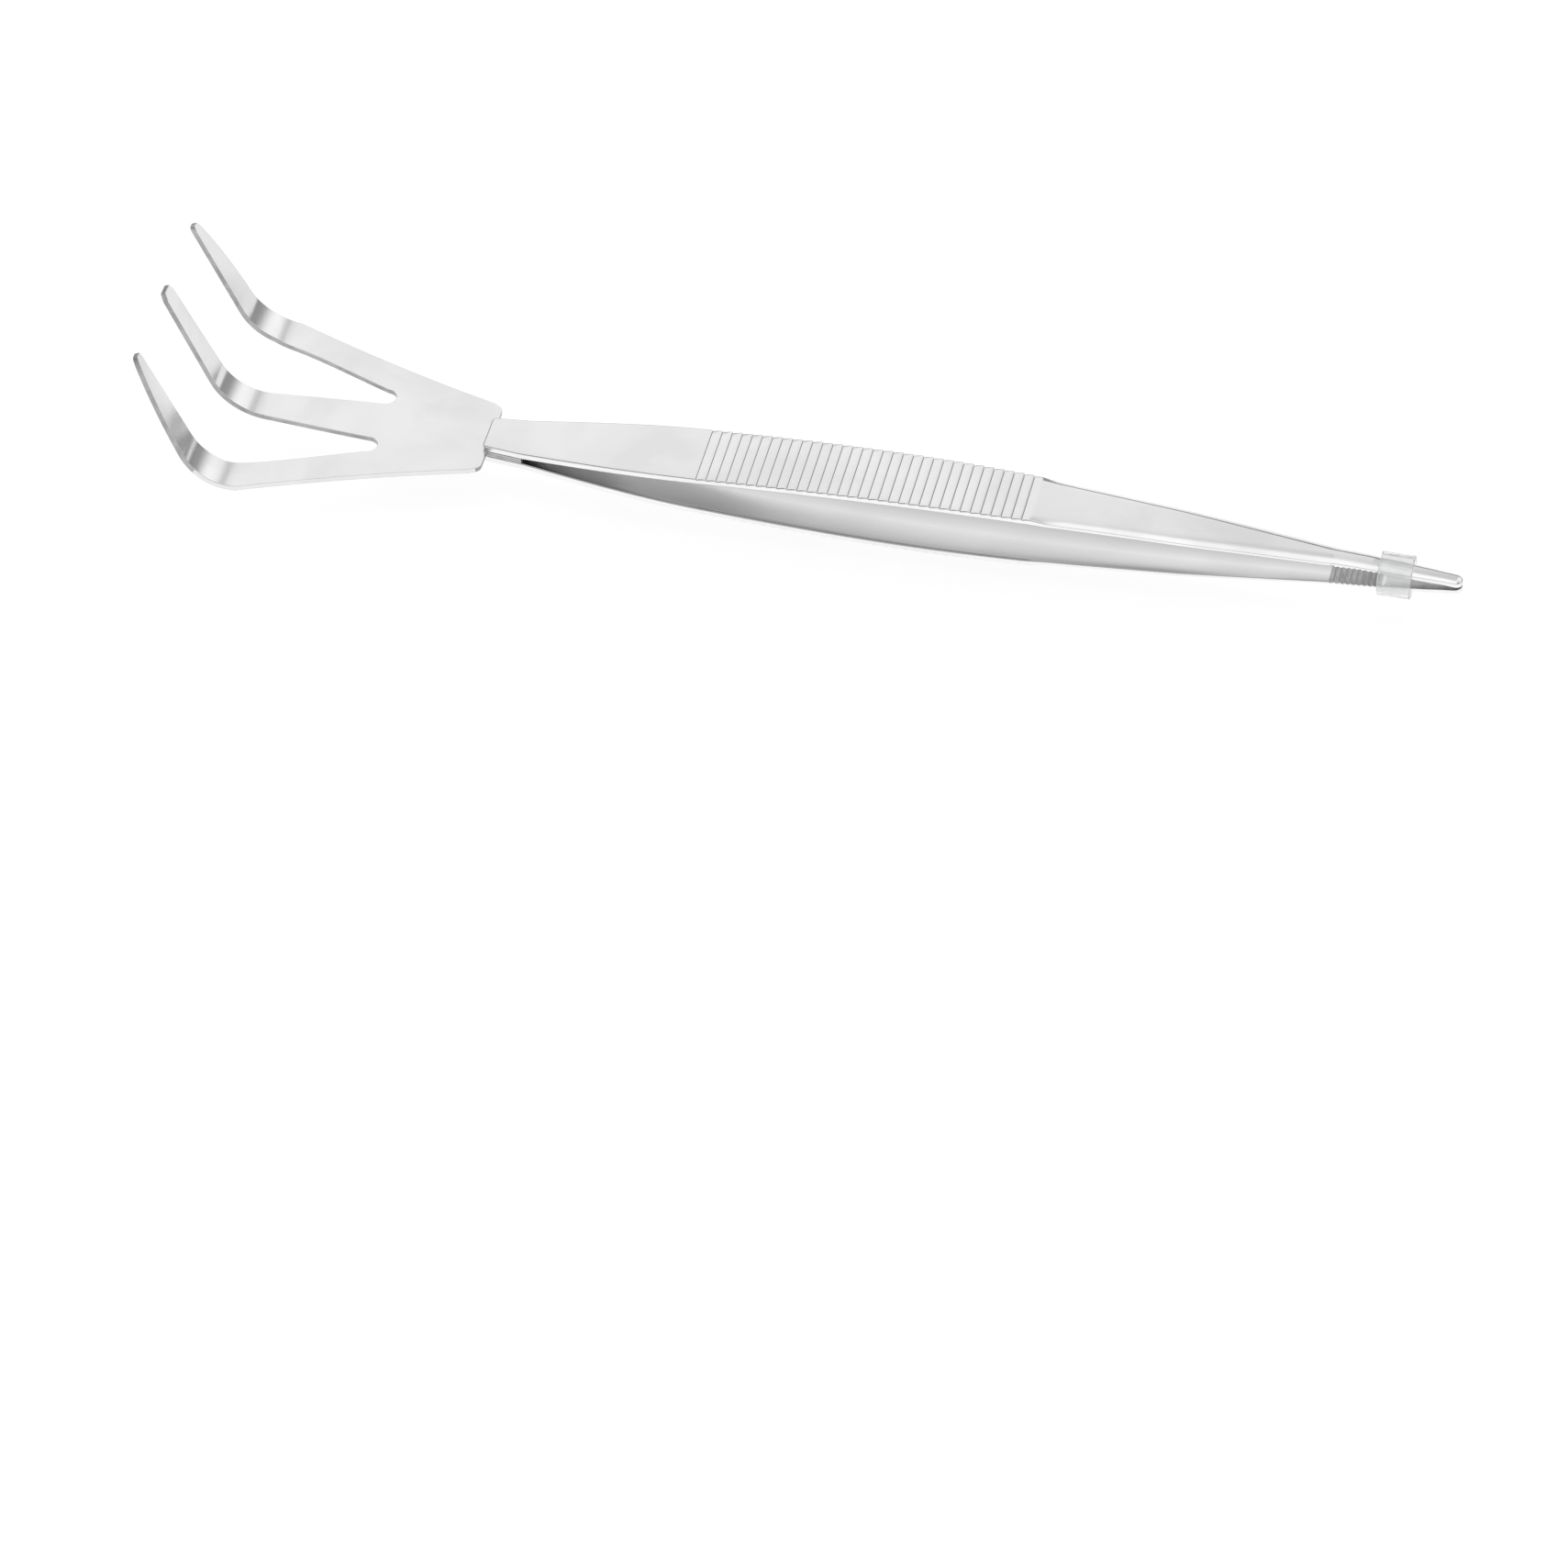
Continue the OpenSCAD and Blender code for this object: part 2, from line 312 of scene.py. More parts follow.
def makeEdgeGroup():
    # how close the surface is to an edge, from a rounded copy of its normal
    group, inn, out = newGroup("edgeWear", [("Reach", "NodeSocketFloat", wearLook["reach"])], ["Wear"])
    rounded = addNode(group, "Bevel", {"Radius": inn.outputs["Reach"]}, samples=wearLook["samples"])
    surface = addNode(group, "NewGeometry")
    compared = addNode(
        group, "VectorMath", {0: rounded.outputs[0], 1: surface.outputs["Normal"]}, operation="DOT_PRODUCT",
    )
    wear = mapRange(group, compared.outputs["Value"], wearLook["agreement"])
    group.links.new(wear, out.inputs["Wear"])
    return group


grainGroup = makeGrainGroup()
smudgeGroup = makeSmudgeGroup()
edgeGroup = makeEdgeGroup()


# finishes: lines and patches are counted per metre, and the turn of the lines is in degrees

steelFinishes = {
    "polishedArmSteel": {
        "colour": (0.80, 0.80, 0.80, 1), "smudged": (0.74, 0.74, 0.745, 1), "edge": (0.88, 0.88, 0.88, 1),
        "roughness": 0.13, "smudgeRoughness": 0.05, "lineRoughness": 0.07,
        "lines": 12000.0, "stretch": 0.03, "patches": 70.0, "bump": 0.016, "wave": 0.008, "turn": 0,
    },
    "polishedRakeSteel": {
        "colour": (0.82, 0.82, 0.82, 1), "smudged": (0.75, 0.75, 0.755, 1), "edge": (0.88, 0.88, 0.88, 1),
        "roughness": 0.12, "smudgeRoughness": 0.06, "lineRoughness": 0.06,
        "lines": 9000.0, "stretch": 0.03, "patches": 75.0, "bump": 0.012, "wave": 0.03, "turn": 24,
    },
    # cut edges: sheared and rough, and their dark colour is partly painted shade
    "shearedEdgePaintedShadeSteel": {
        "colour": (0.46, 0.46, 0.46, 1), "smudged": (0.36, 0.36, 0.365, 1), "edge": (0.6, 0.6, 0.6, 1),
        "roughness": 0.3, "smudgeRoughness": 0.1, "lineRoughness": 0.1,
        "lines": 5000.0, "stretch": 1.0, "patches": 400.0, "bump": 0.12, "wave": 0.02, "turn": 0,
    },
    # inner faces between the arms: slightly rough steel whose colour carries painted shade towards the long
    # edges
    "dullInnerSteelPaintedShade": {
        "colour": (0.79, 0.79, 0.79, 1), "smudged": (0.76, 0.76, 0.765, 1), "edge": (0.75, 0.75, 0.75, 1),
        "roughness": 0.16, "smudgeRoughness": 0.03, "lineRoughness": 0.04,
        "lines": 12000.0, "stretch": 0.03, "patches": 60.0, "bump": 0.012, "wave": 0.01, "turn": 0,
        "paintedShade": (0.49, 0.49, 0.49, 1), "paintedShadeOver": (0.0, 4.8),  # painted shade: the inner face darkens over these mm from the centre line
        "narrowOver": (88.0, 137.5), "narrowing": 0.54,  # mm from the root, where the painted shade narrows
    },
    # the arms' long side walls: a brighter copy of the arm steel, as painted highlight
    "sidePaintedHighlightSteel": {
        "colour": (0.93, 0.93, 0.93, 1), "smudged": (0.88, 0.88, 0.885, 1), "edge": (0.9, 0.9, 0.9, 1),
        "roughness": 0.2, "smudgeRoughness": 0.05, "lineRoughness": 0.07,
        "lines": 12000.0, "stretch": 0.03, "patches": 90.0, "bump": 0.016, "wave": 0.008, "turn": 0,
    },
    "brushedTineSteel": {
        "colour": (0.76, 0.76, 0.76, 1), "smudged": (0.64, 0.64, 0.645, 1), "edge": (0.8, 0.8, 0.8, 1),
        "roughness": 0.12, "smudgeRoughness": 0.06, "lineRoughness": 0.06,
        "lines": 9000.0, "stretch": 0.03, "patches": 60.0, "bump": 0.012, "wave": 0.03, "turn": 24,
    },
    # bare tips' inner faces between the arms: filed rough, and their dark colour is painted shade
    "filedTipSteelPaintedShade": {
        "colour": (0.56, 0.56, 0.56, 1), "smudged": (0.45, 0.45, 0.455, 1), "edge": (0.64, 0.64, 0.64, 1),
        "roughness": 0.26, "smudgeRoughness": 0.1, "lineRoughness": 0.1,
        "lines": 5000.0, "stretch": 1.0, "patches": 500.0, "bump": 0.1, "wave": 0.02, "turn": 0,
    },
    "greyWeldMetal": {
        "colour": (0.45, 0.45, 0.46, 1), "smudged": (0.36, 0.33, 0.30, 1), "edge": (0.6, 0.6, 0.6, 1),
        "roughness": 0.42, "smudgeRoughness": 0.15, "lineRoughness": 0.05,
        "lines": 5000.0, "stretch": 1.0, "patches": 900.0, "bump": 0.3, "wave": 0.1, "turn": 0,
    },
}
speckStrength = 0.25
grainDepth = 0.1 * mm
waveDepth = 1 * mm


def paintedEdgeShade(tree, place, finish):
    # painted shade: rises towards the long edges of the inner faces, and narrows with the strip
    parts = addNode(tree, "SeparateXYZ", {0: place})
    across = addNode(tree, "Math", {0: parts.outputs["Y"]}, operation="ABSOLUTE").outputs[0]
    run = [rootX + x * mm for x in finish["narrowOver"]]
    taper = mapRange(tree, parts.outputs["X"], run, (1, finish["narrowing"]))
    widened = addNode(tree, "Math", {0: across, 1: taper}, operation="DIVIDE").outputs[0]
    return mapRange(tree, widened, [y * mm for y in finish["paintedShadeOver"]])


def makeSteel(name):
    finish = steelFinishes[name]
    material, shader = newMaterial(name)
    tree = material.node_tree
    place = addNode(tree, "TexCoord").outputs["Object"]
    turn = (0, 0, math.radians(finish["turn"]))
    turned = addNode(tree, "Mapping", {"Vector": place, "Rotation": turn}).outputs[0]
    grain = addNode(tree, "Group", {
        "Vector": turned, "Lines per metre": finish["lines"], "Stretch": finish["stretch"],
    }, node_tree=grainGroup)
    smudges = addNode(tree, "Group", {
        "Vector": turned, "Patches per metre": finish["patches"],
    }, node_tree=smudgeGroup)
    wear = addNode(tree, "Group", node_tree=edgeGroup).outputs["Wear"]
    patches = smudges.outputs["Patches"]
    specks = mapRange(tree, smudges.outputs["Specks"], after=(0, speckStrength))

    colour = mixColour(tree, patches, finish["colour"], finish["smudged"])
    colour = mixColour(tree, specks, colour, finish["smudged"])
    # painted shade towards the long edges of the inner faces
    if "paintedShade" in finish:
        colour = mixColour(tree, paintedEdgeShade(tree, place, finish), colour, finish["paintedShade"])
    colour = mixColour(tree, wear, colour, finish["edge"])
    tree.links.new(colour, shader.inputs["Base Color"])

    lineRange = (finish["roughness"], finish["roughness"] + finish["lineRoughness"])
    roughness = addNode(tree, "Math", {
        0: mapRange(tree, grain.outputs["Lines"], after=lineRange),
        1: mapRange(tree, patches, after=(0, finish["smudgeRoughness"])),
    }, operation="ADD").outputs[0]
    tree.links.new(roughness, shader.inputs["Roughness"])
    shader.inputs["Metallic"].default_value = 1

    # the sheet isn't quite flat after polishing
    wave = addNode(tree, "Bump", {"Strength": finish["wave"], "Distance": waveDepth, "Height": patches})
    bump = addNode(tree, "Bump", {
        "Strength": finish["bump"], "Distance": grainDepth, "Height": grain.outputs["Height"],
        "Normal": wave.outputs[0],
    })
    tree.links.new(bump.outputs[0], shader.inputs["Normal"])
    return material


sleeveFinish = {
    "colour": (0.995, 0.998, 1.0, 1), "milky": (0.975, 0.98, 0.985, 1),
    "roughness": 0.04, "scuffRoughness": 0.12,
    "transmission": 0.84, "refraction": 1.47,
    "patches": 420.0, "lines": 2400.0, "stretch": 0.6, "bump": 0.006, "bumpDepth": 0.2 * mm,
}


def makeSleevePlastic():
    finish = sleeveFinish
    material, shader = newMaterial("clearSoftPlastic")
    tree = material.node_tree
    place = addNode(tree, "TexCoord").outputs["Object"]
    patches = addNode(tree, "Group", {
        "Vector": place, "Patches per metre": finish["patches"],
    }, node_tree=smudgeGroup).outputs["Patches"]
    grain = addNode(tree, "Group", {
        "Vector": place, "Lines per metre": finish["lines"], "Stretch": finish["stretch"],
    }, node_tree=grainGroup)
    scuffs = mapRange(tree, patches, after=(finish["roughness"], finish["scuffRoughness"]))
    bump = addNode(tree, "Bump", {
        "Strength": finish["bump"], "Distance": finish["bumpDepth"], "Height": grain.outputs["Height"],
    })
    tree.links.new(mixColour(tree, patches, finish["colour"], finish["milky"]), shader.inputs["Base Color"])
    tree.links.new(scuffs, shader.inputs["Roughness"])
    tree.links.new(bump.outputs[0], shader.inputs["Normal"])
    shader.inputs["Transmission Weight"].default_value = finish["transmission"]
    shader.inputs["IOR"].default_value = finish["refraction"]
    return material


armSteel = makeSteel("polishedArmSteel")
innerSteel = makeSteel("dullInnerSteelPaintedShade")
rakeSteel = makeSteel("polishedRakeSteel")
edgeShadeSteel = makeSteel("shearedEdgePaintedShadeSteel")
tipShadeSteel = makeSteel("filedTipSteelPaintedShade")
sideHighlightSteel = makeSteel("sidePaintedHighlightSteel")
tineSteel = makeSteel("brushedTineSteel")
weldMetal = makeSteel("greyWeldMetal")
sleevePlastic = makeSleevePlastic()
print("finishes made")


# helpers for modelling

def deselectAll():
    if bpy.context.mode != "OBJECT":
        bpy.ops.object.mode_set(mode="OBJECT")
    bpy.ops.object.select_all(action="DESELECT")


def selectOnly(piece):
    deselectAll()
    piece.select_set(True)
    bpy.context.view_layer.objects.active = piece


def applyPlace(piece):
    selectOnly(piece)
    bpy.ops.object.transform_apply(location=True, rotation=True, scale=True)


def applyModifier(piece, kind, **values):
    bpy.context.view_layer.objects.active = piece
    modifier = piece.modifiers.new(kind.lower(), kind)
    for name, value in values.items():
        setattr(modifier, name, value)
    bpy.ops.object.modifier_apply(modifier=modifier.name)


def thickenSheet(piece, thickness):
    applyModifier(piece, "SOLIDIFY", thickness=thickness * mm, offset=-1, use_even_offset=True)


def roundEdges(piece, radius, segments):
    applyModifier(
        piece, "BEVEL", width=radius * mm, segments=segments,
        limit_method="ANGLE", angle_limit=math.radians(50),
    )


def faceOutwards(piece):
    # edit mode
    bpy.ops.mesh.select_all(action="SELECT")
    bpy.ops.mesh.normals_make_consistent(inside=False)
    if bmesh.from_edit_mesh(piece.data).calc_volume(signed=True) < 0:
        bpy.ops.mesh.flip_normals()


def smoothPiece(piece, degrees):
    # rounded edges shade smooth and wide faces stay flat
    selectOnly(piece)
    bpy.ops.object.shade_smooth_by_angle(angle=math.radians(degrees))
    applyModifier(piece, "WEIGHTED_NORMAL", mode="FACE_AREA", weight=60, keep_sharp=True)


def addFinishes(piece, finishes, choose):
    for finish in finishes:
        piece.data.materials.append(finish)
    for face in piece.data.polygons:
        face.material_index = finishes.index(choose(face))


# arms

armShape = {
    # sizes in mm, and places in mm along the arm from its root end
    "length": (upperBox[1].x - rootX) / mm,
    "thickness": 1.2, "tang": 6.5, "tangThickness": 0.9,
    "rootWidth": 7.0, "gripWidth": 12.2, "gripEndWidth": 10.8, "jawWidth": 5.6, "tipWidth": 2.6,
    # growth of the half width per mm at the root, the grip's end, and both ends of the nose and of the jaw
    "rootFlare": 0.1, "gripTaper": -0.04, "noseTaper": -0.06, "noseEndTaper": -0.05,
    "jawTaper": -0.09, "tipTaper": -0.05,
    "bowGap": 7.8, "bowPeak": 74.0, "jawGap": 3.4, "tipGap": 0.3,  # between the two arms
    "bowSlope": 0.075, "jawSlope": -0.05, "tipSlope": -0.115,  # of the inner face
    "ribStart": 35.5, "ribCount": 33, "ribPitch": 1.64, "ribDepth": 0.14,
    "ribStep": 0.14, "ribCrest": 0.3, "crestDrop": 0.04,
    "ribEndDip": 0.4, "ribEndRun": 0.9,  # the ribs run out deeper at their ends
    "jawLength": 20.9, "jawStep": 0.12, "jawStepRun": 0.5, "jawStepEnd": 3.0,  # the jaw is coined narrower
    "toothPitch": 0.88, "toothDepth": 0.25, "toothEnd": 1.6, "toothFade": 1.0,  # they fade under the sleeve
    "cornerEase": 0.35, "cornerRun": 0.5, "endEase": 0.22, "endRun": 0.3,  # the rounded root end
    "tipDroop": 0.45, "droopRun": 0.9,
    "crownRun": 1.0, "crownDrop": 0.1, "thinEdge": 0.22,
    "edgeRound": 0.3, "noseSharpening": 0.6,
    "hollow": 0.42, "hollowRun": 30.0, "hollowCurve": 2.4,  # of the inner face, between root and jaws
    "shoulderStart": 1.25, "shoulder": 1.6, "shoulderSlope": 0.53, "shoulderSoft": 0.28, "shoulderFade": 24,
    "leastWidth": 0.05, "leastThickness": 0.05,
    "mostShoulder": 0.8, "mostRound": 0.4,  # shares of the half width
    "mostDrop": 0.42, "mostSoft": 0.6,  # shares of the edge's height and of the shoulder
    "sleeveMargin": 0.5, "sleeveWall": 0.7, "sleeveClearance": 0.08,  # wall and clearance as in CAD
    "weldHole": 1.16, "weldClearance": 0.06, "weldSpacing": 3.6, "weldDepth": 0.6,
    "punchDepth": 4.0, "weldSides": 32,
    # where sections are drawn
    "rootStations": (0, 0.04, 0.1, 0.18, 0.3, 0.5, 1.5, 3.5, 5.5), "bowStep": 2.4, "noseSteps": 16,
    "jawStations": (-0.1, 0, 0.12), "tipAngles": (0, 15, 30, 45, 58, 70, 80), "hair": 0.001, "tipHair": 0.005,
    "edgeAngles": (22, 45, 68, 90), "innerShares": (1, 0.9, 0.78, 0.64, 0.45, 0.22, 0),
}

arm = armShape
ribEnd = arm["ribStart"] + arm["ribPitch"] * (arm["ribCount"] - 1)
jawStart = arm["length"] - arm["jawLength"]
crownStart = ribEnd + arm["crownRun"]
tipRound = arm["tipWidth"] / 2
sleeveBack = (sleeveBox[0].x - rootX) / mm - arm["sleeveMargin"]
# the nose stays clear of the sleeve's bore
noseLimit = (sleeveBox[1].z - midZ) / mm - arm["sleeveWall"] - arm["sleeveClearance"]


def clamp(share):
    return max(0.0, min(1.0, share))


def hermite(a, b, x):
    # a smooth curve between two places, each with its value and slope
    run = b[0] - a[0]
    s = (x - a[0]) / run
    return (
        (2 * s**3 - 3 * s**2 + 1) * a[1] + (s**3 - 2 * s**2 + s) * run * a[2]
        + (3 * s**2 - 2 * s**3) * b[1] + (s**3 - s**2) * run * b[2]
    )


def innerHeight(x):
    # inner face of an arm above the middle plane
    root = arm["tangThickness"] / 2
    bow = (arm["bowPeak"], arm["bowGap"] / 2, 0)
    jaw = (jawStart, arm["jawGap"] / 2, arm["jawSlope"])
    if x <= arm["tang"]:
        return root
    if x <= arm["bowPeak"]:
        return hermite((arm["tang"], root, arm["bowSlope"]), bow, x)
    if x <= jawStart:
        return hermite(bow, jaw, x)
    return hermite(jaw, (arm["length"], arm["tipGap"] / 2, arm["tipSlope"]), x)


def halfWidth(x):
    grip, gripEnd, jaw = arm["gripWidth"] / 2, arm["gripEndWidth"] / 2, arm["jawWidth"] / 2
    if x <= arm["ribStart"]:
        width = hermite((0, arm["rootWidth"] / 2, arm["rootFlare"]), (arm["ribStart"], grip, 0), x)
        return width - arm["cornerEase"] * max(0, 1 - x / arm["cornerRun"]) ** 2
    if x <= ribEnd:
        return hermite((arm["ribStart"], grip, 0), (ribEnd, gripEnd, arm["gripTaper"]), x)
    if x <= jawStart:
        return hermite((ribEnd, gripEnd, arm["noseTaper"]), (jawStart, jaw, arm["noseEndTaper"]), x)
    tipStart = arm["length"] - tipRound
    if x <= tipStart:
        return hermite((jawStart, jaw, arm["jawTaper"]), (tipStart, tipRound, arm["tipTaper"]), x)
    return math.sqrt(max(0.0, tipRound**2 - (x - tipStart) ** 2))


def crownRadius(x):
    if x >= jawStart:
        return innerHeight(x) + arm["thickness"] - arm["crownDrop"]
    corner = math.hypot(halfWidth(crownStart), innerHeight(crownStart) + arm["thickness"]) + arm["crownDrop"]
    return corner + (crownRadius(jawStart) - corner) * noseShare(x)


def noseShare(x):
    return clamp((x - crownStart) / (jawStart - crownStart))


def sectionWidth(x):
    width = halfWidth(x)
    if noseShare(x) > 0:  # the crowned nose comes down to a thin edge
        edgeHeight = innerHeight(x) + arm["thinEdge"]
        width = min(width, math.sqrt(max(0.01, crownRadius(x) ** 2 - edgeHeight**2)))
    if x > jawStart:
        step = min(1, (x - jawStart) / arm["jawStepRun"], (arm["length"] - x) / arm["jawStepEnd"])
        width = max(arm["leastWidth"], width - arm["jawStep"] * step)
    return width


def ribDrop(x):
    # saw-shaped ribs: each rises towards the tip, rounds over and steps down
    place = (x - arm["ribStart"]) / arm["ribPitch"]
    if place <= 0 or place > arm["ribCount"]:
        return 0.0
    past = (place % 1) * arm["ribPitch"]
    climb = arm["ribPitch"] - arm["ribStep"] - arm["ribCrest"]
    deep = arm["crestDrop"] + arm["ribDepth"]
    if past < arm["ribStep"]:
        return arm["crestDrop"] + arm["ribDepth"] * past / arm["ribStep"]
    if past < arm["ribStep"] + climb:
        return deep * (1 - (past - arm["ribStep"]) / climb)
    return arm["crestDrop"] * (past - arm["ribStep"] - climb) / arm["ribCrest"]


def toothDrop(x):
    place = (x - jawStart) / arm["toothPitch"]
    if place < 0:
        return 0.0
    worn = clamp((sleeveBack + arm["toothEnd"] - x) / arm["toothFade"])
    return arm["toothDepth"] * worn * (1 - abs(2 * (place % 1) - 1))


def hollowDepth(x):
    between = clamp(min((x - arm["tang"]) / arm["hollowRun"], (jawStart - x) / arm["hollowRun"]))
    return arm["hollow"] * between * between * (3 - 2 * between)


def armStations():
    # the places along the arm where its section is drawn
    tip = arm["length"]
    places = [*arm["rootStations"], arm["tang"]]
    bowSteps = int((arm["ribStart"] - arm["tang"]) / arm["bowStep"])
    places += [arm["tang"] + arm["bowStep"] * i for i in range(1, bowSteps)]
    for i in range(arm["ribCount"]):
        rib = arm["ribStart"] + i * arm["ribPitch"]
        crest = rib + arm["ribPitch"] - arm["ribCrest"]
        places += [rib + arm["hair"], rib + arm["ribStep"], rib + arm["ribPitch"] / 2, crest]
    places += [ribEnd + arm["ribPitch"], crownStart]
    steps = arm["noseSteps"]
    places += [crownStart + (jawStart - crownStart) * i / steps for i in range(1, steps)]
    places += [jawStart + past for past in arm["jawStations"]]
    half = arm["toothPitch"] / 2
    places += [jawStart + half * i for i in range(1, int((arm["jawLength"] - tipRound) / half))]
    places += [tip - tipRound * (1 - math.sin(math.radians(a))) for a in arm["tipAngles"]]
    places += [tip - arm["tipHair"]]
    return sorted(set(round(p, 4) for p in places))


def armSection(x):
    # points round the arm at x, as (y, height above the middle plane), starting at the outer face's +Y end
    inner, full = innerHeight(x), innerHeight(x) + arm["thickness"]
    width, nose, hollow = sectionWidth(x), noseShare(x), hollowDepth(x)
    ease = arm["endEase"] * max(0.0, 1 - x / arm["endRun"]) ** 2
    end = max(0.0, (x - arm["length"] + arm["droopRun"]) / arm["droopRun"])
    droop = arm["tipDroop"] * (1 - math.sqrt(max(0.0, 1 - end**2)))
    shoulder = arm["shoulderStart"] + (arm["shoulder"] - arm["shoulderStart"]) * nose
    reach = min(arm["mostShoulder"] * width, shoulder)
    flatTo = width - reach
    fade = min(1.0, nose * arm["shoulderFade"])  # the ground shoulders come in just past the ribs

    def outer(y):
        runOut = max(0.0, 1 - (width - abs(y)) / arm["ribEndRun"])
        top = full - ribDrop(x) * (1 + arm["ribEndDip"] * runOut) - ease - droop
        if abs(y) > flatTo:
            past, soft = (abs(y) - flatTo) / reach, arm["shoulderSoft"]
            top -= arm["shoulderSlope"] * fade * reach * (past / 2 if past < soft else past - soft / 2)
        if x > sleeveBack:
            top = min(top, math.sqrt(max(0.0, noseLimit**2 - y**2)))
        return max(top, inner + arm["leastThickness"])

    def bottom(y):
        return inner + toothDrop(x) + ease + hollow * (1 - abs(y / width) ** arm["hollowCurve"])

    rounding = min(arm["edgeRound"] * (1 - arm["noseSharpening"] * fade), width * arm["mostRound"])
    lean = math.atan(arm["shoulderSlope"] * fade)
    flat = width - rounding * (1 - math.sin(lean))
    low = width - rounding
    drop = min(rounding, arm["mostDrop"] * (outer(flat) - bottom(low)))
    soft = flatTo + min(arm["shoulderSoft"] * reach, arm["mostSoft"] * (flat - flatTo))
    half = [flat, (soft + flat) / 2, soft, flatTo, 0.7 * flatTo, 0.35 * flatTo]
    across = half + [0] + [-y for y in reversed(half)]
    # rounded edges, from the outer face down and from the inner face up
    top = [(width - rounding * (1 - math.sin(a)), outer(flat) - drop * (math.cos(lean) - math.cos(a)))
           for a in (lean + (math.pi / 2 - lean) * i / 4 for i in (1, 2, 3, 4))]
    under = [(low + rounding * math.sin(a), bottom(low) + drop * (1 - math.cos(a)))
             for a in (math.radians(a) for a in arm["edgeAngles"])]
    points = [(y, outer(y)) for y in across]
    points += [(-y, z) for y, z in top] + [(-y, z) for y, z in reversed(under)]
    shares = arm["innerShares"]
    for share in [*shares, *(-share for share in reversed(shares[:-1]))]:
        points.append((-share * low, bottom(share * low)))
    return points + under + list(reversed(top))


def makeUpperArm():
    stations = armStations()
    sections = [armSection(x) for x in stations]
    sides = len(sections[0])
    deselectAll()
    bpy.ops.mesh.primitive_circle_add(
        vertices=sides, radius=2 * mm, fill_type="NGON",
        location=(rootX, 0, midZ), rotation=(0, math.pi / 2, 0),
    )
    piece = bpy.context.active_object
    piece.name = "upperArmStrip"
    applyPlace(piece)
    # a bar, drawn out station by station
    bpy.ops.object.mode_set(mode="EDIT")
    bpy.ops.mesh.select_all(action="SELECT")
    for last, here in zip(stations, stations[1:]):
        bpy.ops.mesh.extrude_region_move(TRANSFORM_OT_translate={"value": ((here - last) * mm, 0, 0)})
    bpy.ops.object.mode_set(mode="OBJECT")
    # pressed to the arm's own section at each station
    for vert in piece.data.vertices:
        x = (vert.co.x - rootX) / mm
        station = min(range(len(stations)), key=lambda i: abs(stations[i] - x))
        turn = math.atan2(vert.co.z - midZ, vert.co.y)
        y, z = sections[station][round(turn / (2 * math.pi) * sides) % sides]
        vert.co.y = y * mm
        vert.co.z = midZ + z * mm
    bpy.ops.object.mode_set(mode="EDIT")
    faceOutwards(piece)
    bpy.ops.object.mode_set(mode="OBJECT")
    return piece


def cutWeldHoles(piece, radius, depth):
    for side in (-1, 1):
        deselectAll()
        bpy.ops.mesh.primitive_cylinder_add(
            vertices=arm["weldSides"], radius=radius * mm, depth=depth * mm,
            location=(rootX + arm["tang"] / 2 * mm, side * arm["weldSpacing"] / 2 * mm, midZ),
        )
        cutter = bpy.context.active_object
        applyPlace(cutter)
        applyModifier(piece, "BOOLEAN", operation="DIFFERENCE", object=cutter, solver="EXACT")
        bpy.data.objects.remove(cutter)


def makeLowerArm(upper):
    selectOnly(upper)
    bpy.ops.object.duplicate()
    piece = bpy.context.active_object
    piece.name = "lowerArmStrip"
    bpy.ops.object.mode_set(mode="EDIT")
    bpy.ops.mesh.select_all(action="SELECT")
    bpy.ops.transform.resize(value=(1, 1, -1), center_override=(rootX, 0, midZ))
    faceOutwards(piece)
    bpy.ops.object.mode_set(mode="OBJECT")
    return piece


def armFinish(face, inward):
    # told by place and facing; inward is the way to the other arm, 1 up or -1 down
    x, facing = (face.center.x - rootX) / mm, face.normal
    if x > jawStart and facing.z * inward > 0.5 and abs(facing.x) > 0.3:  # a tooth's flank: painted shade on the flanks facing +X and painted highlight on the others
        return edgeShadeSteel if facing.x > 0 else armSteel
    if facing.z * inward > 0.6:
        # inner faces past the sleeve get the dark tip steel as painted shade between the arms
        return tipShadeSteel if face.center.x > sleeveBox[1].x - arm["sleeveMargin"] * mm else innerSteel
    # long side walls get the brighter steel as painted highlight
    return sideHighlightSteel if abs(facing.y) > 0.6 else armSteel


upperArm = makeUpperArm()
cutWeldHoles(upperArm, arm["weldHole"], arm["tangThickness"] + 2 * arm["weldDepth"])
lowerArm = makeLowerArm(upperArm)
for piece, node, inward in ((upperArm, "upper_arm", -1), (lowerArm, "lower_arm", 1)):
    smoothPiece(piece, 26)
    addFinishes(
        piece, [armSteel, innerSteel, edgeShadeSteel, tipShadeSteel, sideHighlightSteel], lambda face: armFinish(face, inward),
    )
    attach(piece, node)
    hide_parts(node)
print("arms pressed")


# rake

